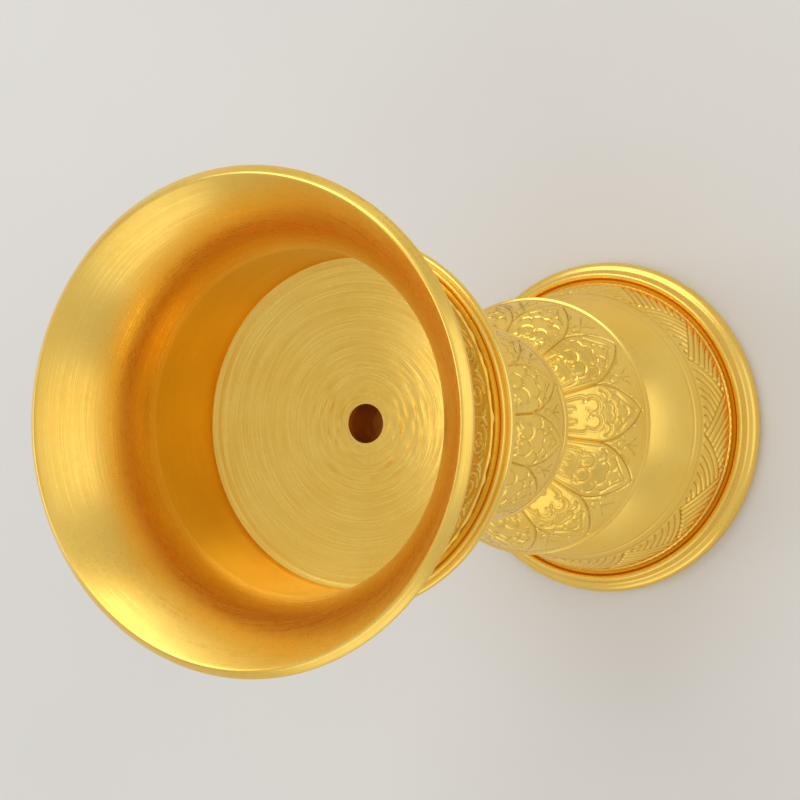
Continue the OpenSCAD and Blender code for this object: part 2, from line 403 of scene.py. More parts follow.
def vine(middle, tall):
    """Relief of a running vine of spiral scrolls, raised on a punched ground."""
    half = math.pi / SCROLLS

    def stem():
        places = ((-0.42, -1), (-0.1, -0.9), (0.1, -1.1), (0.42, -1))
        return curve(*((middle + share * tall, side * half) for share, side in places), 8)

    def one_scroll(k, r):
        big = k % 2 == 0
        radius = (BIG_SCROLL if big else SMALL_SCROLL) * tall
        found = [spiral(middle, radius, 1 if big else -1, r)]
        found += [arc_on(middle, radius + 0.62, start, end, r) for start, end in ((-70, 70), (150, 215))]
        found += [leaf(middle, tall, side * half, lean, way)
                  for side in (-1, 1) for lean in LEAF_LEANS for way in (-1, 1)]
        return found + [stem()]

    def relief(run, radii, angle):
        def one(k, points, r):
            return ridge(distance(points, r, one_scroll(k, radii.mean())), VINE_W, VINE_HEIGHT)

        height = each_sector(SCROLLS, run, radii, angle, one)
        ground = punched(run[:, None], angle[None, :], radii.mean(), VINE_CELL, 7)
        fade = ease(run, 0.0, 0.8) * (1 - ease(run, run[-1] - 0.8, run[-1]))
        return (height - VINE_GROUND - VINE_PUNCH * ground) * fade[:, None]

    return relief


# Smaller reliefs

CHATTER_DEPTH = 0.11
CHATTER_MARKS = 26
TURNED_LINE_W = 0.5
TURNED_LINE_CUT = 0.09


def turned(seed, depth=0.012, chatter=0.0, line_at=None):
    """Fine rings left by the lathe tool, with chatter marks over that many mm at the outline's start and
    a line cut that far from its end."""

    def relief(run, radii, angle):
        rng = np.random.RandomState(seed)
        rings = depth * (rng.random_sample(len(run)) - 0.5)
        fade = ease(run, 0, 0.6) * (1 - ease(run, run[-1] - 0.6, run[-1]))
        height = np.repeat((rings * fade)[:, None], len(angle), axis=1)
        if chatter:
            close = np.exp(-((run / chatter - 0.8) ** 2)) * fade
            marks = rng.uniform(-1, 1, (len(run), CHATTER_MARKS))
            at = np.linspace(0, TAU, CHATTER_MARKS, endpoint=False)
            marks = np.array([np.interp(angle, at, row, period=TAU) for row in marks])
            height += CHATTER_DEPTH * close[:, None] * marks
        if line_at:
            height += groove(np.abs(run[-1] - line_at - run), TURNED_LINE_W, TURNED_LINE_CUT)[:, None]
        return height

    return relief


def hammered(height, seed):
    """An uneven raised line, knocked up by hand."""

    def relief(run, radii, angle):
        middle = run[-1] / 2 + 0.12 * wander(angle, (7, 11, 19, 31), seed)
        knock = height * (1 + 0.25 * wander(angle, (23, 37, 53, 71, 90), seed + 1))
        wide = 0.16 * run[-1] * (1 + 0.12 * wander(angle, (13, 29, 41), seed + 2))
        d = (run[:, None] - middle[None, :]) / wide[None, :]
        fade = ease(run, 0, 0.2) * (1 - ease(run, run[-1] - 0.2, run[-1]))
        return knock[None, :] * np.exp(-(d**4)) * fade[:, None]

    return relief


def sanded(depth, cell, seed):
    """A ground of small punch marks, as if struck with sand."""

    def relief(run, radii, angle):
        ground = punched(run[:, None], angle[None, :], radii.mean(), cell, seed)
        fade = ease(run, 0, 0.3) * (1 - ease(run, run[-1] - 0.3, run[-1]))
        return -depth * ground * fade[:, None]

    return relief


def knurled(height, count, seed):
    """A row of small uneven knocks along a raised line."""

    def relief(run, radii, angle):
        rng = np.random.RandomState(seed)
        size = 0.6 + 0.4 * rng.random_sample(count)
        at = (angle / TAU * count) % count
        k = at.astype(int) % count
        bead = np.sin((at - np.floor(at)) * math.pi) ** 2 * size[k]
        fade = np.sin(np.clip(run / run[-1], 0, 1) * math.pi) ** 2
        return height * fade[:, None] * (0.35 + bead[None, :])

    return relief


# Turned meshes

CORNER = math.cos(math.radians(28))
ON_GROUND, ON_FLOOR, ON_WALL = 1, 2, 3  # material numbers of bands that don't have their piece's first


def smooth(columns, *outlines):
    """Bands with no relief."""
    return [(points, columns, None) for points in outlines]


def direction(bands):
    """1 if the closed outline runs anticlockwise, -1 if it runs clockwise."""
    p = np.vstack([band[0] for band in bands])
    area = np.sum(p[:, 0] * np.roll(p[:, 1], -1) - np.roll(p[:, 0], -1) * p[:, 1])
    return 1 if area > 0 else -1


def rows_of(bands, way):
    """Rings of a closed outline: the point, outward normal, number of columns, heights and material number
    of each."""
    rings = []
    for points, columns, relief, *finish in bands:
        step = np.diff(points, axis=0)
        step /= np.maximum(np.hypot(step[:, 0], step[:, 1])[:, None], 1e-9)
        normal = np.vstack([step[:1], step[:-1] + step[1:], step[-1:]])
        normal /= np.hypot(normal[:, 0], normal[:, 1])[:, None]
        normal = way * np.column_stack([normal[:, 1], -normal[:, 0]])
        angle = np.arange(columns) / columns * TAU
        height = np.zeros((len(points), columns))
        if relief is not None:
            height = relief(along(points), points[:, 0], angle)
        for k in range(len(points)):
            rings.append((points[k], normal[k], columns, height[k], finish[0] if finish else 0))
    return rings


def joined(rings):
    """The same rings with the shared ring of two bands kept once, from the band with more columns."""
    kept = []
    for ring in rings:
        if kept and np.hypot(*(kept[-1][0] - ring[0])) < 1e-6:
            if ring[2] > kept[-1][2]:
                kept[-1] = ring
            else:
                kept[-1] = kept[-1][:4] + ring[4:]
        else:
            kept.append(ring)
    if np.hypot(*(kept[0][0] - kept[-1][0])) < 1e-6:
        last = kept.pop()
        if last[2] > kept[0][2]:
            kept[0] = last
    return kept


def sewn(first_a, n_a, first_b, n_b):
    """Faces between two rings, where one count is a multiple of the other."""
    if n_a == n_b:
        i = np.arange(n_a)
        j = (i + 1) % n_a
        return np.column_stack([first_a + i, first_a + j, first_b + j, first_b + i]).tolist()
    faces = []
    if n_b > n_a:
        k = n_b // n_a
        for i in range(n_a):
            fine = [first_b + (i * k + m) % n_b for m in range(k, -1, -1)]
            faces.append([first_a + i, first_a + (i + 1) % n_a] + fine)
        return faces
    k = n_a // n_b
    for i in range(n_b):
        fine = [first_a + (i * k + m) % n_a for m in range(k + 1)]
        faces.append(fine + [first_b + (i + 1) % n_b, first_b + i])
    return faces


def ring_points(rings):
    """Points of all rings in metres, their heights, and the number of each ring's first point."""
    co, recess, first = [], [], [0]
    for point, normal, columns, height, _ in rings:
        angle = np.arange(columns) / columns * TAU
        r = point[0] + normal[0] * height
        z = point[1] + normal[1] * height
        co.append(np.column_stack([r * np.cos(angle), r * np.sin(angle), z]) * MM)
        recess.append(height)
        first.append(first[-1] + columns)
    return np.vstack(co), np.concatenate(recess), first


def ring_faces(rings, first, way, solid):
    """Faces between each ring and the next, and the number of each face's material."""
    faces, finish = [], []
    for k in range(len(rings) - 1 if solid else len(rings)):
        m = (k + 1) % len(rings)
        strip = sewn(first[k], rings[k][2], first[m], rings[m][2])
        faces += strip
        finish += [rings[k][4]] * len(strip)
    return [face[::-1] for face in faces] if way < 0 else faces, finish


def lathe(name, node, body, materials, bands, solid=False):
    """A closed turned piece, standing for a CAD node, from bands of (outline points, columns, relief) and,
    where it isn't the first, the number of the material. A solid one's outline ends on the axis."""
    way = direction(bands)
    rings = joined(rows_of(bands, way))
    co, recess, first = ring_points(rings)
    faces, finish = ring_faces(rings, first, way, solid)
    mesh = bpy.data.meshes.new(name)
    mesh.from_pydata(co.tolist(), [], faces)
    mesh.shade_smooth()
    soften(mesh, rings)
    # Relief heights, which the gilt materials read to paint shade into the cuts.
    found = mesh.attributes.new("recess", "FLOAT", "POINT")
    found.data.foreach_set("value", recess.astype(np.float32))
    for material in materials:
        mesh.materials.append(material)
    mesh.polygons.foreach_set("material_index", finish)
    if solid:
        weld(mesh)
    obj = bpy.data.objects.new(name, mesh)
    bpy.context.scene.collection.objects.link(obj)
    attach(obj, body)
    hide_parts(node)


def weld(mesh):
    """Closes the ends of a solid piece where its outline meets the axis."""
    shape = bmesh.new()
    shape.from_mesh(mesh)
    bmesh.ops.remove_doubles(shape, verts=shape.verts, dist=1e-7)
    shape.to_mesh(mesh)
    shape.free()


def soften(mesh, rings):
    """Marks the rings at the outline's corners as sharp, so that the rest shades smooth."""
    flat = np.array([ring[0] for ring in rings])
    before = flat - np.roll(flat, 1, axis=0)
    after = np.roll(flat, -1, axis=0) - flat
    turn = (before * after).sum(axis=1)
    turn /= np.maximum(np.hypot(*before.T) * np.hypot(*after.T), 1e-9)
    corner = np.concatenate([np.full(r[2], t < CORNER) for r, t in zip(rings, turn)])
    ring_of = np.concatenate([np.full(r[2], k) for k, r in enumerate(rings)])
    ends = np.zeros(len(mesh.edges) * 2, int)
    mesh.edges.foreach_get("vertices", ends)
    ends = ends.reshape(-1, 2)
    sharp = corner[ends[:, 0]] & (ring_of[ends[:, 0]] == ring_of[ends[:, 1]])
    mesh.attributes.new("sharp_edge", "BOOLEAN", "EDGE").data.foreach_set("value", sharp)


# Materials

GILT = (1.0, 0.69, 0.16, 1)
GILT_RICH = (0.97, 0.62, 0.11, 1)
# Painted shade: deep orange gold for sunk grounds between raised work.
GILT_RECESS_SHADE = (0.80, 0.38, 0.02, 1)
GILT_WORN = (0.76, 0.47, 0.08, 1)
# Painted shade: brown gold for the cut lines of the chasing.
GILT_SHADE = (0.58, 0.34, 0.04, 1)
# Painted shade: darker orange gold for the cup's inside wall and the punched grounds, where shade falls.
SHADE_AMBER = (0.93, 0.62, 0.055, 1)
SHADE_AMBER_DEEP = (0.88, 0.55, 0.035, 1)
BRASS = (0.78, 0.56, 0.25, 1)
BRASS_DARK = (0.42, 0.27, 0.10, 1)
# Painted shade: dark reddish brass in place of the shade down the wick hole.
WICK_SHADE = (0.75, 0.38, 0.09, 1)
WICK_SHADE_DARK = (0.42, 0.17, 0.04, 1)
PALE = (0.74, 0.73, 0.71, 1)
PALE_LIGHT = (0.78, 0.77, 0.75, 1)


BRUSH_PITCH = 0.17
BRUSH_LENGTH = 1.8
BRUSH_DEPTH = 0.005
DRIFT_SCALE = 70
PATCH_SCALE = 110
SPOT_SCALE = 900
GRAIN_SCALE = 3200


class Nodes:
    """Short names for making shader nodes."""

    def __init__(self, name):
        self.material = bpy.data.materials.new(name)
        self.material.use_nodes = True
        self.tree = self.material.node_tree
        self.shader = self.tree.nodes["Principled BSDF"]
        self.shader.inputs["Metallic"].default_value = 1.0
        self.place = self.new("ShaderNodeTexCoord").outputs["Object"]

    def new(self, kind, **settings):
        node = self.tree.nodes.new(kind)
        for key, value in settings.items():
            setattr(node, key, value)
        return node

    def link(self, a, b):
        self.tree.links.new(a, b)

    def math(self, operation, a, b=None):
        node = self.new("ShaderNodeMath", operation=operation)
        for socket, value in zip(node.inputs, (a, b)):
            if isinstance(value, (int, float)):
                socket.default_value = value
            elif value is not None:
                self.link(value, socket)
        return node.outputs[0]

    def noise(self, scale, detail=3.0, roughness=0.55, vector=None):
        node = self.new("ShaderNodeTexNoise")
        node.inputs["Scale"].default_value = scale
        node.inputs["Detail"].default_value = detail
        node.inputs["Roughness"].default_value = roughness
        self.link(vector or self.place, node.inputs["Vector"])
        return node.outputs["Fac"]

    def rings(self, pitch, length):
        """Noise drawn out round the axis, as a lathe tool or a brush leaves it, pitch in mm."""
        parts = self.new("ShaderNodeSeparateXYZ")
        self.link(self.place, parts.inputs[0])
        x, y, z = parts.outputs
        radius = self.math("SQRT", self.math("ADD", self.math("MULTIPLY", x, x), self.math("MULTIPLY", y, y)))
        radius = self.math("MAXIMUM", radius, 1e-5)
        fine = 1 / (pitch * MM)
        joined_up = self.new("ShaderNodeCombineXYZ")
        self.link(self.math("MULTIPLY", radius, fine), joined_up.inputs[0])
        self.link(self.math("MULTIPLY", z, fine), joined_up.inputs[1])
        self.link(self.math("MULTIPLY", self.math("DIVIDE", x, radius), length), joined_up.inputs[2])
        node = self.new("ShaderNodeTexNoise", noise_dimensions="4D")
        node.inputs["Scale"].default_value = 1.0
        node.inputs["Detail"].default_value = 2.0
        self.link(joined_up.outputs[0], node.inputs["Vector"])
        self.link(self.math("MULTIPLY", self.math("DIVIDE", y, radius), length), node.inputs["W"])
        return node.outputs["Fac"]

    def between(self, value, lo, hi, to_lo, to_hi):
        node = self.new("ShaderNodeMapRange")
        for key, v in (("From Min", lo), ("From Max", hi), ("To Min", to_lo), ("To Max", to_hi)):
            node.inputs[key].default_value = v
        self.link(value, node.inputs["Value"])
        return node.outputs["Result"]

    def mix(self, share, a, b):
        node = self.new("ShaderNodeMix", data_type="RGBA")
        self.link(share, node.inputs["Factor"])
        for socket, value in ((node.inputs["A"], a), (node.inputs["B"], b)):
            if isinstance(value, tuple):
                socket.default_value = value
            else:
                self.link(value, socket)
        return node.outputs["Result"]

    def bump(self, heights):
        """Bump from (height, depth in mm) pairs."""
        normal = None
        for height, depth in heights:
            node = self.new("ShaderNodeBump")
            node.inputs["Strength"].default_value = 1.0
            node.inputs["Distance"].default_value = depth * MM
            self.link(height, node.inputs["Height"])
            if normal is not None:
                self.link(normal, node.inputs["Normal"])
            normal = node.outputs["Normal"]
        self.link(normal, self.shader.inputs["Normal"])

    def set(self, **sockets):
        for key, value in sockets.items():
            socket = self.shader.inputs[key.replace("_", " ")]
            if isinstance(value, (int, float, tuple)):
                socket.default_value = value
            else:
                self.link(value, socket)
        return self.material


def gilt(name, rough, grain, brushing, painted_shade_colour=GILT_RECESS_SHADE, painted_shade_from=None, colours=(GILT, GILT_RICH)):
    """Gilded metal: brushed rings, fine grain, slow drifts of colour, and shade painted into the cuts in a
    colour of its own, which turns in from the first of its two given heights, in mm, to the second."""
    n = Nodes(name)
    drift = n.between(n.noise(DRIFT_SCALE, 4), 0.35, 0.7, 0.0, 1.0)
    colour = n.mix(drift, *colours)
    brushed = n.rings(BRUSH_PITCH, BRUSH_LENGTH)
    patch = n.between(n.noise(PATCH_SCALE, 3), 0.35, 0.65, 0.5, 1.0)
    streak = n.math("MULTIPLY", n.between(brushed, 0.40, 0.68, 0.0, brushing), patch)
    colour = n.mix(streak, colour, GILT_WORN)
    # Painted shade: the colour darkens towards the shade colour where the relief lies low, in cuts and sunk
    # grounds.
    if painted_shade_from:
        cut = n.new("ShaderNodeAttribute", attribute_name="recess").outputs["Fac"]
        colour = n.mix(n.between(cut, *painted_shade_from, 0.0, 1.0), colour, painted_shade_colour)
    spots = n.noise(SPOT_SCALE, 4, 0.6)
    worn = n.math("ADD", n.between(brushed, 0.3, 0.7, rough - 0.07, rough + 0.08),
                  n.between(spots, 0.3, 0.7, -0.03, 0.03))
    n.bump([(brushed, BRUSH_DEPTH * brushing), (n.noise(GRAIN_SCALE, 2), grain)])
    return n.set(Base_Color=colour, Roughness=worn)


def brass(name, rough, colours):
    """Plain machined brass with stains."""
    n = Nodes(name)
    stain = n.between(n.noise(120, 5, 0.65), 0.4, 0.75, 0.0, 1.0)
    colour = n.mix(stain, *colours)
    brushed = n.rings(0.3, 2.0)
    worn = n.between(n.noise(500, 3), 0.3, 0.7, rough - 0.06, rough + 0.1)
    n.bump([(brushed, 0.02), (n.noise(2500, 2), 0.008)])
    return n.set(Base_Color=colour, Roughness=worn)


def pale_floor(name):
    """Pale studio floor."""
    n = Nodes(name)
    n.shader.inputs["Metallic"].default_value = 0.0
    shade = n.between(n.noise(6, 3), 0.3, 0.7, 0.0, 1.0)
    return n.set(Base_Color=n.mix(shade, PALE, PALE_LIGHT), Roughness=0.85)


SATIN = gilt("gilt_turned", rough=0.31, grain=0.003, brushing=0.34)
BRUSHED = gilt("gilt_brushed", rough=0.31, grain=0.003, brushing=0.5)
# Painted shade: the cup's inside wall is given darker amber gold in place of the shade inside the bowl.
WALL = gilt("gilt_inside_painted_shade", rough=0.36, grain=0.003, brushing=0.25, colours=(SHADE_AMBER, SHADE_AMBER_DEEP))
# Painted shade in the cut lines of the petals.
CHASED = gilt("gilt_chased", rough=0.24, grain=0.005, brushing=0.06,
              painted_shade_colour=GILT_SHADE, painted_shade_from=(-0.08, -0.36))
# Painted shade: the punched grounds drift towards amber and turn deep orange where they lie low.
GROUND = gilt("gilt_punched_painted_shade", rough=0.40, grain=0.016, brushing=0.1,
              painted_shade_colour=GILT_RECESS_SHADE, painted_shade_from=(0.17, 0.02), colours=(GILT, SHADE_AMBER))
# Painted shade in the cut lines of the feather band and the bell's rings.
BELL = gilt("gilt_bell", rough=0.35, grain=0.009, brushing=0.12,
            painted_shade_colour=GILT_SHADE, painted_shade_from=(-0.08, -0.38))
BRIGHT = gilt("gilt_bright", rough=0.29, grain=0.003, brushing=0.3)
INNER = brass("brass_plain", 0.38, (BRASS, BRASS_DARK))
# Painted shade for the wick socket, mottled like the other brass.
WICK_HOLE_SHADE = brass("brass_wick_painted_shade", 0.42, (WICK_SHADE, WICK_SHADE_DARK))


# Pieces of the bowl

BOWL_TOP = top("bowl_cup")
LIP_R = reach("bowl_cup")
CREST_R = LIP_R - 1.5
LIP_DROP = 1.6
FLARE_H = 20
FLARE_Z = BOWL_TOP - FLARE_H
FLARE_T = 1.1
BACK_Z = BOWL_TOP - 4
WALL_R = 27.9
FLOOR_R = 27.5
FLOOR_DISH = 4
FLOOR_EDGE = 103.8
FLOOR_T = 1.2
WICK_R = 3.3
NECK_R = 28.7
BAND_LOW = 111.7
RAISED_LOW = 110.2
SEAT_Z = top("bowl_calyx")
SEAT_R = WALL_R + 0.3
RIM_R = reach("bowl_calyx")
FLARE_OUT = CREST_R - WALL_R
CUP_COLUMNS = 280
VINE_MIDDLE = 3.3
VINE_TALL = 6.6
VINE_TURN = 1.5  # this and the other turns, in degrees, bring the repeats round as on the real one


def flare(z):
    """Radius inside the flare at height z."""
    return WALL_R + FLARE_OUT * ((z - FLARE_Z) / FLARE_H) ** 2


def flare_points(z_from, z_to, thick, n):
    """Outline of the flare, moved out by thick."""
    z = np.linspace(z_from, z_to, n)
    return np.column_stack([flare(z) + thick, z])


def inside_bands(n):
    """The cup's inside, from the wick hole over the floor and up the wall to the mouth."""
    dish = (FLOOR_R**2 + FLOOR_DISH**2) / (2 * FLOOR_DISH)
    hole_z = FLOOR_EDGE - FLOOR_DISH
    edge, hole, under = (math.degrees(math.asin(r / ball)) - 90 for r, ball in
                         ((FLOOR_R, dish), (WICK_R, dish), (WICK_R, dish + FLOOR_T)))
    floor = arc((0, hole_z + dish), dish, hole, edge, 62)
    wall = np.vstack([floor[-1:], line((FLOOR_R + 0.1, FLOOR_EDGE + 0.4), (WALL_R, FLARE_Z), 9)])
    mouth = flare_points(FLARE_Z, BOWL_TOP - 0.35, 0, 26)
    below = arc((0, hole_z + dish), dish + FLOOR_T, edge - 1.5, under, 8)
    below = np.vstack([(WALL_R - 0.6, FLOOR_EDGE - 1), below])
    bands = [
        (floor, n, turned(3, depth=0.009, chatter=5.5, line_at=1.0), ON_FLOOR),
        (wall, n, turned(4), ON_WALL),
        (mouth, n, turned(5, depth=0.01)),
    ]
    return bands, mouth[-1], smooth(n, below, line(below[-1], floor[0], 3))


def lip_bands(start, n):
    """The lip, from the mouth's edge over the bevel and down the flare's back to the neck."""
    crest = curve(start, (CREST_R, BOWL_TOP), (CREST_R, BOWL_TOP), (CREST_R + 0.35, BOWL_TOP - 0.3), 5)
    bevel = line(crest[-1], (LIP_R - 0.25, BOWL_TOP - LIP_DROP + 0.3), 5)
    lip = curve(bevel[-1], (LIP_R + 0.02, BOWL_TOP - LIP_DROP), (LIP_R, BOWL_TOP - LIP_DROP - 0.1),
                (LIP_R - 0.5, BOWL_TOP - LIP_DROP - 0.9), 6)
    tuck = curve(lip[-1], (LIP_R - 0.8, BOWL_TOP - 3.1), (flare(BOWL_TOP - 3.5) + 1.3, BOWL_TOP - 3.4),
                 (flare(BACK_Z) + FLARE_T, BACK_Z), 6)
    back = flare_points(BACK_Z, FLARE_Z + 2, FLARE_T, 16)
    shoulder = curve(back[-1], (NECK_R + 0.25, FLARE_Z), (NECK_R, FLARE_Z - 1), (NECK_R, FLARE_Z - 2.4), 7)
    return smooth(n, crest, bevel, lip, tuck, back, shoulder), shoulder[-1]


def neck_bands(start, n):
    """The neck's chased band, the raised line and the cove, down to the bead."""
    band = line(start, (NECK_R, BAND_LOW), 42)
    raised = line(band[-1], (NECK_R + 0.1, RAISED_LOW), 12)
    cove = curve(raised[-1], (NECK_R - 0.1, 109.8), (NECK_R + 0.3, 109.4), (NECK_R + 0.7, SEAT_Z + 0.75), 8)
    return [
        (band, 3 * n, rotated(vine(VINE_MIDDLE, VINE_TALL), VINE_TURN), ON_GROUND),
        (raised, 3 * n, hammered(height=0.34, seed=11), ON_GROUND),
        (cove, 3 * n, sanded(depth=0.09, cell=0.42, seed=13), ON_GROUND),
    ]


def bowl_bands():
    """The whole cup, which ends below in the bead that sits on the calyx."""
    n = CUP_COLUMNS
    inside, mouth_end, below = inside_bands(n)
    lip, neck_top = lip_bands(mouth_end, n)
    bead = arc((NECK_R + 1.2, SEAT_Z + 0.5), 0.5, 120, -60, 9)
    under_seat = line((NECK_R + 0.1, SEAT_Z), (SEAT_R, SEAT_Z))
    pot = line(under_seat[-1], (SEAT_R, FLOOR_EDGE), 3)
    return inside + lip + neck_bands(neck_top, n) + smooth(n, bead, under_seat, pot) + below


CALYX_COLUMNS = 363
CALYX_T = 1.4
WAIST_Z = 103.2


def calyx_bands():
    """The lotus underside of the bowl, with its stepped rim and a hollow inside."""
    n = CALYX_COLUMNS
    low = bottom("bowl_calyx")
    end_r, spigot_r = 9.6, 7.0
    inside = WALL_R + 0.4
    waist = (inside + 0.6, WAIST_Z)
    belly = ((19, 86), (25.3, 93.5), waist)
    foot = line((spigot_r, low), (end_r - 0.15, low), 3)
    toe = curve(foot[-1], (end_r, low), (end_r, low + 0.1), (end_r, low + 0.2), 3)
    body = even(np.vstack([
        curve(toe[-1], *belly, 60),
        curve(waist, (29.2, 104.3), (29.4, 105), (RIM_R - 1.3, 105.6), 8)[1:],
    ]), 0.31)
    neck = curve(body[-1], (RIM_R - 1.1, 106), (RIM_R - 1.1, 106.2), (RIM_R - 0.9, 106.55), 4)
    bead = arc((RIM_R - 0.9, SEAT_Z - 0.9), 0.9, -80, 90, 14)
    seat = line(bead[-1], (inside, SEAT_Z))
    hollow = curve((end_r, low + 0.2), *belly, 14) + [-1.1, 0.5]
    inner = np.vstack([line(seat[-1], (inside, WAIST_Z)), hollow[::-1][1:-1]])
    corner = (spigot_r, low + CALYX_T)
    return smooth(n, foot, toe) + [(body, 2 * n, petals(PETALS, lobe=1.9, flip=False, seed=71))] + smooth(
        n, neck, bead, seat, inner, line(inner[-1], corner), line(corner, foot[0]))


# Pieces of the stem

ROD_R = 4.1
STEM_COLUMNS = 240
UPPER_PETALS = 10
UPPER_SEAM_R = 17.2
UPPER_TURN = 7.3
LOWER_SEAM_R = 23.6
LOWER_DOME_R = 24.5
LOWER_TURN = -9.5


def collar_bands():
    """The beaded collar at the top of the stem, bored for the bowl's spigot."""
    low, high = bottom("neck_collar"), top("neck_collar")
    r, bore_r = 8, 7.05
    ledge = low + 1.64
    base = line((ROD_R, low), (r, low), 3)
    cove = curve(base[-1], (r + 0.1, low + 0.5), (r + 0.1, low + 0.9), (r + 0.5, low + 1.2), 4)
    bead = arc((r + 0.6, low + 2.8), 1.6, -68, 68, 16)
    rise = curve(bead[-1], (r + 0.7, low + 4.6), (r + 0.75, high - 1), (r + 0.8, high - 0.1), 6)
    cap = line((r + 0.7, high), (bore_r, high))
    return smooth(
        STEM_COLUMNS, base, cove, bead, rise, line(rise[-1], cap[0]), cap,
        line(cap[-1], (bore_r, ledge), 3), line((bore_r, ledge), (ROD_R, ledge)),
        line((ROD_R, ledge), base[0]))


def knob_bands(node, centre_drop, radius, top_r, ornament, columns):
    """Cap of a knob, from its seam up over the petals and back inside."""
    low, high = bottom(node), top(node)
    r = reach(node)
    centre = low - centre_drop
    height = (high - centre) / math.sqrt(1 - (top_r / radius) ** 2)
    outer = even(ellipse(centre, radius, height, low + 0.9, top_r, 90), 0.215)
    edge = np.vstack([line((r, low), (r, low + 0.45)),
                      curve((r, low + 0.45), (r, low + 0.75), outer[0], outer[0], 4)[1:]])
    inner = ellipse(centre, radius - 1, height - 1, low, top_r - 1, 16)
    inner = inner[inner[:, 1] < high - 1.2]
    top_edge = inner[-1, 1] + 0.2
    half = columns // 2
    return [(edge, half, None), (outer, columns, ornament)] + smooth(
        half, line(outer[-1], (ROD_R, high), 3), line((ROD_R, high), (ROD_R, top_edge)),
        line((ROD_R, top_edge), inner[-1]), inner[::-1], line(inner[0], edge[0]))


def pan_bands(node, seam_r, seed):
    """Underside of a knob."""
    n = STEM_COLUMNS
    low, high = bottom(node), top(node)
    dish = curve((9.2, low), (seam_r * 0.7, low), (seam_r - 1, low + 0.6), (seam_r - 0.1, high - 0.45), 34)
    edge = curve(dish[-1], (seam_r, high - 0.3), (seam_r, high - 0.2), (seam_r, high), 3)
    shelf, well, bore = (seam_r - 1.6, high), (seam_r * 0.7, low + 1.3), (ROD_R, low + 1)
    return smooth(n, line((ROD_R, low), dish[0], 6)) + [(dish, n, turned(seed, depth=0.02))] + smooth(
        n, edge, line(edge[-1], shelf), line(shelf, well), line(well, bore), line(bore, (ROD_R, low)))


def spacer_bands(node):
    """Spacer with a round bead."""
    low, high = bottom(node), top(node)
    half = (high - low) / 2
    bead = arc((reach(node) - half, low + half), half, -90, 90, 18)
    return smooth(STEM_COLUMNS, line((ROD_R, low), bead[0], 3), bead, line(bead[-1], (ROD_R, high), 3),
                  line((ROD_R, high), (ROD_R, low)))


# Pieces of the foot

LEDGE = bottom("foot_bell")
BELL_TOP = top("foot_bell")
BELL_R = 27.7
BELL_T = 1.3
BELL_COLUMNS = 363
WEB_Z = top("foot_washer")
WEB_R = 11.3
FEATHER_TALL = 8.0
FEATHER_END = 0.4
FEATHER_GAP = 0.2
FEATHER_TURN = 13.5
BELL_LINES = (0.3, 0.75, 2.5, 2.95)
BELL_LINE_W = 0.3
BELL_LINE_CUT = 0.13
RING_COLUMNS = 330


def bell_points(off, n):
    """Outline of the bell, moved out by off."""
    return curve((BELL_R + off, LEDGE + 0.6), (26.9 + off, 15), (21.5 + off, 24), (10.5 + off, BELL_TOP), n)


def bell_lines(run, radii, angle):
    """Two pairs of thin lines cut round the bell above its feather band."""
    d = np.min([np.abs(run - place) for place in BELL_LINES], axis=0)
    h = groove(d, BELL_LINE_W, BELL_LINE_CUT)
    h = h * ease(run, 0, 0.2) * (1 - ease(run, run[-1] - 0.5, run[-1]))
    return np.repeat(h[:, None], len(angle), axis=1)


def feathers_up(run, radii, angle):
    """The feather band, which is drawn from its upper edge down, on an outline that runs upwards."""
    tall = FEATHER_TALL - FEATHER_GAP - FEATHER_END
    flipped = rotated(feathers(0.0, tall), FEATHER_TURN, mirror=True)
    return flipped((run[-1] - FEATHER_GAP - run)[::-1], radii[::-1], angle)[::-1]


def bell_bands():
    """The bell of the foot, hollow below its web."""
    n = BELL_COLUMNS
    whole = even(bell_points(0, 200), 0.2)
    split = int(np.searchsorted(along(whole), FEATHER_TALL))
    lower, upper = whole[: split + 1], whole[split:]
    upper = np.vstack([upper[:14], upper[14::2], upper[-1:]])
    inner = bell_points(-BELL_T, 24)[::-1]
    inner = inner[inner[:, 1] < WEB_Z - 0.2]
    start = (BELL_R - BELL_T, LEDGE)
    edge = np.vstack([(BELL_R, LEDGE), (BELL_R + 0.3, LEDGE + 0.3), lower[0]])
    return smooth(n, line(start, (BELL_R, LEDGE)), edge) + [
        (lower, 4 * n, feathers_up), (upper, n, bell_lines),
    ] + smooth(n, line(upper[-1], (ROD_R, BELL_TOP), 3), line((ROD_R, BELL_TOP), (ROD_R, WEB_Z)),
               line((ROD_R, WEB_Z), (WEB_R, WEB_Z), 3), np.vstack([(WEB_R, WEB_Z), inner]),
               line(inner[-1], start))


def ring_bands():
    """The rolled edge, small bead and groove round the foot."""
    n = RING_COLUMNS
    r = reach("foot_ring")
    roll = 1.7
    inside = 26.2
    floor_z = 4.85
    outer = arc((r - roll, roll), roll, -90, 78, 26)
    crease = curve(outer[-1], (30.5, 3.5), (30.3, 3.75), (30.25, 4.3), 4)
    bead = arc((29.5, 4.95), 0.65, -25, 165, 14)
    groove_in = line(bead[-1], (28.6, floor_z))
    floor = line(groove_in[-1], (28.05, floor_z), 5)
    knocked = curve(floor[-1], (27.95, 5.5), (27.8, 5.9), (27.72, LEDGE), 7)
    return smooth(n, line((inside, 0), outer[0], 3), outer, crease, bead) + [
        (groove_in, n, None, ON_GROUND),
        (floor, 3 * n, sanded(depth=0.08, cell=0.4, seed=23), ON_GROUND),
        (knocked, 3 * n, knurled(height=0.14, count=120, seed=29), ON_GROUND),
    ] + smooth(n, line(knocked[-1], (inside, LEDGE)), line((inside, LEDGE), (inside, 0)))


PITCH = 1.25
THREAD_DEPTH = 0.66
ROD_COLUMNS = 48


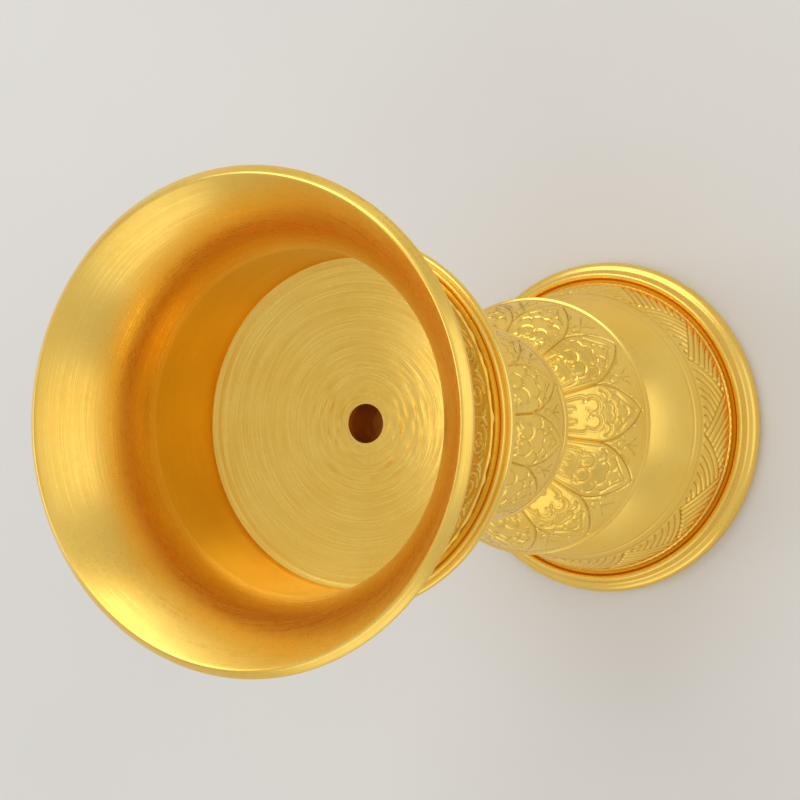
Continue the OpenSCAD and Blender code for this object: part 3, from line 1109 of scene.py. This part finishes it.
def thread(run, radii, angle):
    """A right-handed screw thread along the outline."""
    phase = (run[:, None] / PITCH - angle[None, :] / TAU) % 1
    tooth = np.clip(2.4 * np.abs(phase - 0.5) - 0.1, 0, 1)
    fade = ease(run, 0.2, 1.0) * (1 - ease(run, run[-1] - 1.0, run[-1] - 0.2))
    return -THREAD_DEPTH * tooth * fade[:, None]


def rod_bands():
    """The threaded rod, with bevelled ends."""
    low, high, r = bottom("tie_rod"), top("tie_rod"), reach("tie_rod")
    tip = 0.5
    n = ROD_COLUMNS
    return smooth(n, line((0, low), (r - tip, low), 3), line((r - tip, low), (r, low + tip))) + [
        (even(line((r, low + tip), (r, high - tip)), 0.16), n, thread),
    ] + smooth(n, line((r, high - tip), (r - tip, high)), line((r - tip, high), (0, high), 3))


def make_bowl():
    lathe("bowl_cup_turned", "bowl_cup", "bowl", [SATIN, GROUND, BRUSHED, WALL], bowl_bands())
    lathe("bowl_calyx_chased", "bowl_calyx", "bowl", [CHASED], calyx_bands())


def make_stem():
    upper = rotated(petals(UPPER_PETALS, lobe=1.75, flip=True, seed=51), UPPER_TURN)
    lower = rotated(petals(PETALS, lobe=1.5, flip=True, seed=57), LOWER_TURN)
    upper_cap = knob_bands("upper_knob_cap", centre_drop=-1.3, radius=UPPER_SEAM_R, top_r=8,
                           ornament=upper, columns=660)
    lower_cap = knob_bands("lower_knob_cap", centre_drop=6.5, radius=LOWER_DOME_R, top_r=9,
                           ornament=lower, columns=770)
    lathe("neck_collar_turned", "neck_collar", "stem", [BRIGHT], collar_bands())
    lathe("upper_knob_chased", "upper_knob_cap", "stem", [CHASED], upper_cap)
    lathe("upper_knob_pan", "upper_knob_base", "stem", [SATIN],
          pan_bands("upper_knob_base", UPPER_SEAM_R, 61))
    lathe("mid_collar_turned", "mid_collar", "stem", [BRIGHT], spacer_bands("mid_collar"))
    lathe("lower_knob_chased", "lower_knob_cap", "stem", [CHASED], lower_cap)
    lathe("lower_knob_pan", "lower_knob_base", "stem", [SATIN],
          pan_bands("lower_knob_base", LOWER_SEAM_R, 63))
    lathe("foot_collar_turned", "foot_collar", "stem", [BRIGHT], spacer_bands("foot_collar"))


def make_foot():
    """The foot, and the rod that holds the stem together."""
    lathe("foot_bell_chased", "foot_bell", "stem", [BELL], bell_bands())
    lathe("foot_ring_turned", "foot_ring", "stem", [BRIGHT, GROUND], ring_bands())
    lathe("tie_rod_threaded", "tie_rod", "stem", [INNER], rod_bands(), solid=True)


def finish_cad_pieces():
    """The CAD pieces whose shape is kept get a material of their own."""
    # The wick socket gets the painted shade of the wick hole.
    plain = {"wick_socket": WICK_HOLE_SHADE, "bowl_boss": INNER, "seat_washer": INNER,
             "foot_washer": INNER, "foot_nut": INNER}
    for node, material in plain.items():
        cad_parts[node].data.materials.clear()
        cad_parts[node].data.materials.append(material)


# Studio

def add_light(name, direction, distance_m, size, power, aim):
    light = bpy.data.lights.new(name, "AREA")
    light.shape = "RECTANGLE"
    light.size, light.size_y = size
    light.energy = power
    obj = bpy.data.objects.new(name, light)
    bpy.context.scene.collection.objects.link(obj)
    away = Vector(direction).normalized()
    obj.location = Vector(aim) + away * distance_m
    obj.rotation_mode = "QUATERNION"
    obj.rotation_quaternion = away.to_track_quat("Z", "Y")


def add_sky(level, overhead):
    """Even light that is brighter overhead, like a softbox tent."""
    world = bpy.data.worlds.new("studio")
    bpy.context.scene.world = world
    world.use_nodes = True
    tree = world.node_tree
    back = tree.nodes["Background"]
    back.inputs["Color"].default_value = (1.0, 0.985, 0.96, 1)
    place = tree.nodes.new("ShaderNodeTexCoord")
    parts = tree.nodes.new("ShaderNodeSeparateXYZ")
    rise = tree.nodes.new("ShaderNodeMapRange")
    rise.interpolation_type = "SMOOTHSTEP"
    for key, value in (("From Min", 0.0), ("From Max", 0.9), ("To Min", level), ("To Max", overhead)):
        rise.inputs[key].default_value = value
    tree.links.new(place.outputs["Generated"], parts.inputs[0])
    tree.links.new(parts.outputs["Z"], rise.inputs["Value"])
    tree.links.new(rise.outputs["Result"], back.inputs["Strength"])


FLOOR_SIZE_M = 6.0


def add_studio():
    aim = (0, 0, BOWL_TOP * MM / 2)
    add_light("key", (-0.15, 1.0, 0.7), 0.9, (0.8, 0.5), 2.2, aim)
    add_light("fill_mouth", (1.0, 0.1, 0.45), 1.1, (1.1, 0.6), 1.3, aim)
    add_light("fill_low", (0.1, -1.0, 0.3), 1.0, (0.9, 0.5), 0.9, aim)
    add_light("fill_back", (-1.0, -0.1, 0.5), 1.0, (0.4, 0.8), 1.6, aim)
    add_sky(0.54, 0.68)
    bpy.context.scene.view_settings.view_transform = "Standard"
    half = FLOOR_SIZE_M / 2
    mesh = bpy.data.meshes.new("floor")
    corners = [(-half, -half, 0), (half, -half, 0), (half, half, 0), (-half, half, 0)]
    mesh.from_pydata(corners, [], [(0, 1, 2, 3)])
    mesh.materials.append(pale_floor("floor"))
    floor = bpy.data.objects.new("floor", mesh)
    bpy.context.scene.collection.objects.link(floor)


VIEW_TILT = 27.88
VIEW_ROLL = 1.7
LENS = 135
SENSOR = 36
RIM_RIGHT, RIM_UP, RIM_AHEAD = -24.95, -3.35, 464.2


def add_camera():
    """Looks into the mouth, with the lamp's axis across the picture, mouth to the left."""
    tilt, roll = math.radians(VIEW_TILT), math.radians(VIEW_ROLL)
    axis_seen = Vector((math.sin(tilt) * math.cos(roll), -math.sin(tilt) * math.sin(roll), -math.cos(tilt)))
    z_seen = -axis_seen
    x_seen = (Vector((1, 0, 0)) - axis_seen * axis_seen.x).normalized()
    y_seen = z_seen.cross(x_seen)
    turn = Matrix((x_seen, y_seen, z_seen))
    rim = Vector((0, 0, BOWL_TOP)) * MM
    seen_at = Vector((RIM_RIGHT, RIM_UP, -RIM_AHEAD)) * MM
    data = bpy.data.cameras.new("camera")
    data.lens, data.sensor_width = LENS, SENSOR
    data.clip_start, data.clip_end = 0.02, 20
    camera = bpy.data.objects.new("camera", data)
    bpy.context.scene.collection.objects.link(camera)
    camera.matrix_world = Matrix.Translation(rim - turn @ seen_at) @ turn.to_4x4()
    bpy.context.scene.camera = camera


make_bowl()
make_stem()
make_foot()
finish_cad_pieces()
add_camera()
add_studio()
